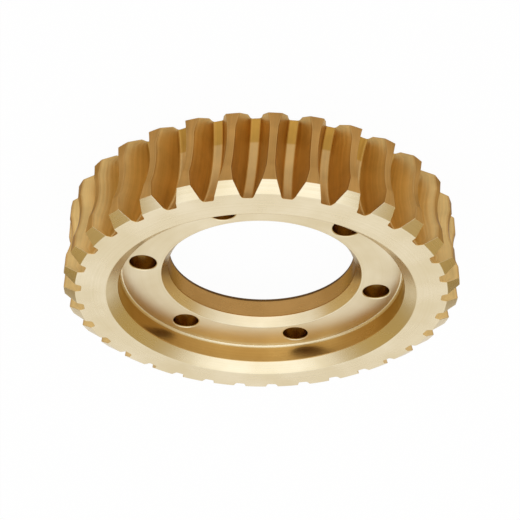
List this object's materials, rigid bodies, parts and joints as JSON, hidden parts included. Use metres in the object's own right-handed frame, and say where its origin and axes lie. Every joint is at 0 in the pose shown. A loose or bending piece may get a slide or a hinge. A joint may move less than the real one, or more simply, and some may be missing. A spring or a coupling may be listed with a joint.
{
  "type": "worm gear",
  "caption": "Bronze worm wheel ring with throated helical teeth around its rim, deep recesses on both sides, and a drilled web around a plain bore for bolting to a hub.",
  "frame": {"origin": "on the wheel axis, in the middle of the face width, where the worm passes", "axes": "+Z along the wheel axis, out of the side whose bore edge has the wide chamfer; +X through the middle of a tooth space and of a bolt hole"},
  "size_m": [0.173, 0.173, 0.0396],
  "materials": {
    "worm_wheel": "turned tin bronze, bare, with hobbed teeth"
  },
  "bodies": {
    "root": {"worm_wheel": "worm_wheel"}
  },
  "joints": []
}
